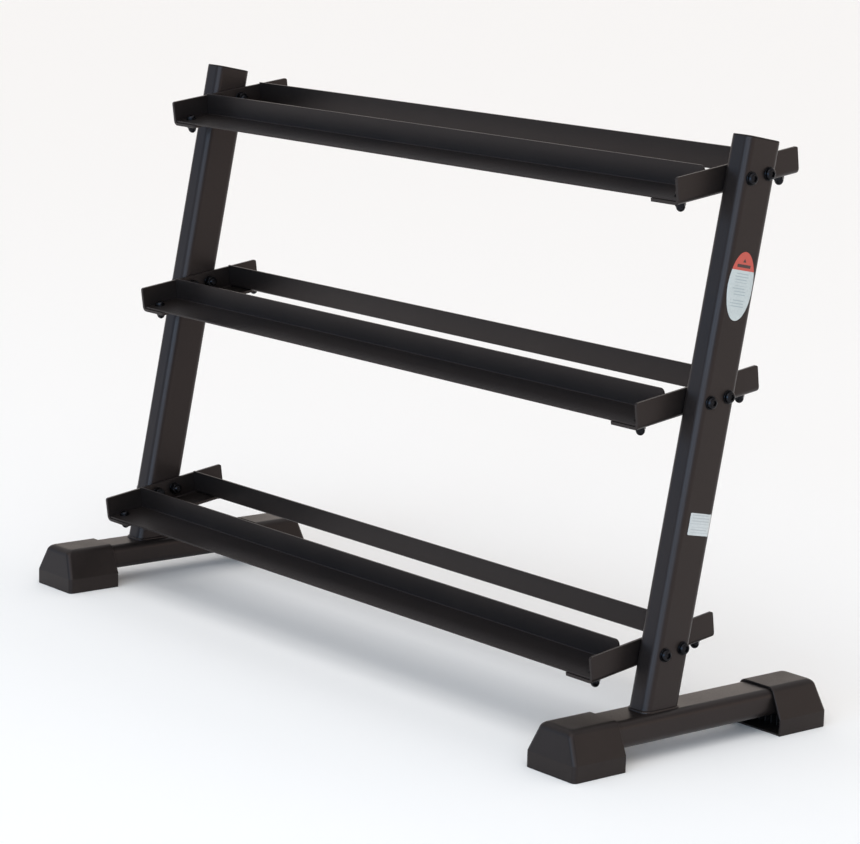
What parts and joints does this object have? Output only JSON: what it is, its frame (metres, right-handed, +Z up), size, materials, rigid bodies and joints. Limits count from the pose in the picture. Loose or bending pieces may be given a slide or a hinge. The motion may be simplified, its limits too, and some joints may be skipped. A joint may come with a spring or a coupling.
{
  "type": "dumbbell rack",
  "caption": "Tiered dumbbell rack: leaning tube uprights on capped base tubes carry bolted angle brackets and tilted, lipped shelf rails.",
  "frame": {"origin": "on the floor, midway between the uprights and midway along the base tubes", "axes": "+X along the rack from the left upright to the right one, +Y to the back, +Z up; the shelves slope down to the front, -Y"},
  "size_m": [1.37, 0.5, 0.879],
  "materials": {
    "powder_coat": "satin black powder coat with a fine orange-peel texture",
    "moulded_plastic": "matt black injection moulding",
    "black_fastener": "black oxide, semi-gloss",
    "label_film": "printed satin vinyl film"
  },
  "bodies": {
    "root": {"left_base_tube": "powder_coat", "left_front_foot_cap": "moulded_plastic", "left_rear_foot_cap": "moulded_plastic", "left_upright": "powder_coat", "left_upright_plug": "moulded_plastic", "left_tier1_bracket": "powder_coat", "left_tier1_front_upright_bolt": "black_fastener", "left_tier1_front_rail_bolt": "black_fastener", "left_tier1_front_upright_nut": "black_fastener", "left_tier1_rear_upright_bolt": "black_fastener", "left_tier1_rear_rail_bolt": "black_fastener", "left_tier1_rear_upright_nut": "black_fastener", "left_tier2_bracket": "powder_coat", "left_tier2_front_upright_bolt": "black_fastener", "left_tier2_front_rail_bolt": "black_fastener", "left_tier2_front_upright_nut": "black_fastener", "left_tier2_rear_upright_bolt": "black_fastener", "left_tier2_rear_rail_bolt": "black_fastener", "left_tier2_rear_upright_nut": "black_fastener", "left_tier3_bracket": "powder_coat", "left_tier3_front_upright_bolt": "black_fastener", "left_tier3_front_rail_bolt": "black_fastener", "left_tier3_front_upright_nut": "black_fastener", "left_tier3_rear_upright_bolt": "black_fastener", "left_tier3_rear_rail_bolt": "black_fastener", "left_tier3_rear_upright_nut": "black_fastener", "right_base_tube": "powder_coat", "right_front_foot_cap": "moulded_plastic", "right_rear_foot_cap": "moulded_plastic", "right_upright": "powder_coat", "right_upright_plug": "moulded_plastic", "right_tier1_bracket": "powder_coat", "right_tier1_front_upright_bolt": "black_fastener", "right_tier1_front_rail_bolt": "black_fastener", "right_tier1_front_upright_nut": "black_fastener", "right_tier1_rear_upright_bolt": "black_fastener", "right_tier1_rear_rail_bolt": "black_fastener", "right_tier1_rear_upright_nut": "black_fastener", "right_tier2_bracket": "powder_coat", "right_tier2_front_upright_bolt": "black_fastener", "right_tier2_front_rail_bolt": "black_fastener", "right_tier2_front_upright_nut": "black_fastener", "right_tier2_rear_upright_bolt": "black_fastener", "right_tier2_rear_rail_bolt": "black_fastener", "right_tier2_rear_upright_nut": "black_fastener", "right_tier3_bracket": "powder_coat", "right_tier3_front_upright_bolt": "black_fastener", "right_tier3_front_rail_bolt": "black_fastener", "right_tier3_front_upright_nut": "black_fastener", "right_tier3_rear_upright_bolt": "black_fastener", "right_tier3_rear_rail_bolt": "black_fastener", "right_tier3_rear_upright_nut": "black_fastener", "tier1_front_rail": "powder_coat", "tier1_rear_rail": "powder_coat", "tier2_front_rail": "powder_coat", "tier2_rear_rail": "powder_coat", "tier3_front_rail": "powder_coat", "tier3_rear_rail": "powder_coat", "oval_label": "label_film", "square_tag": "label_film"}
  },
  "joints": []
}
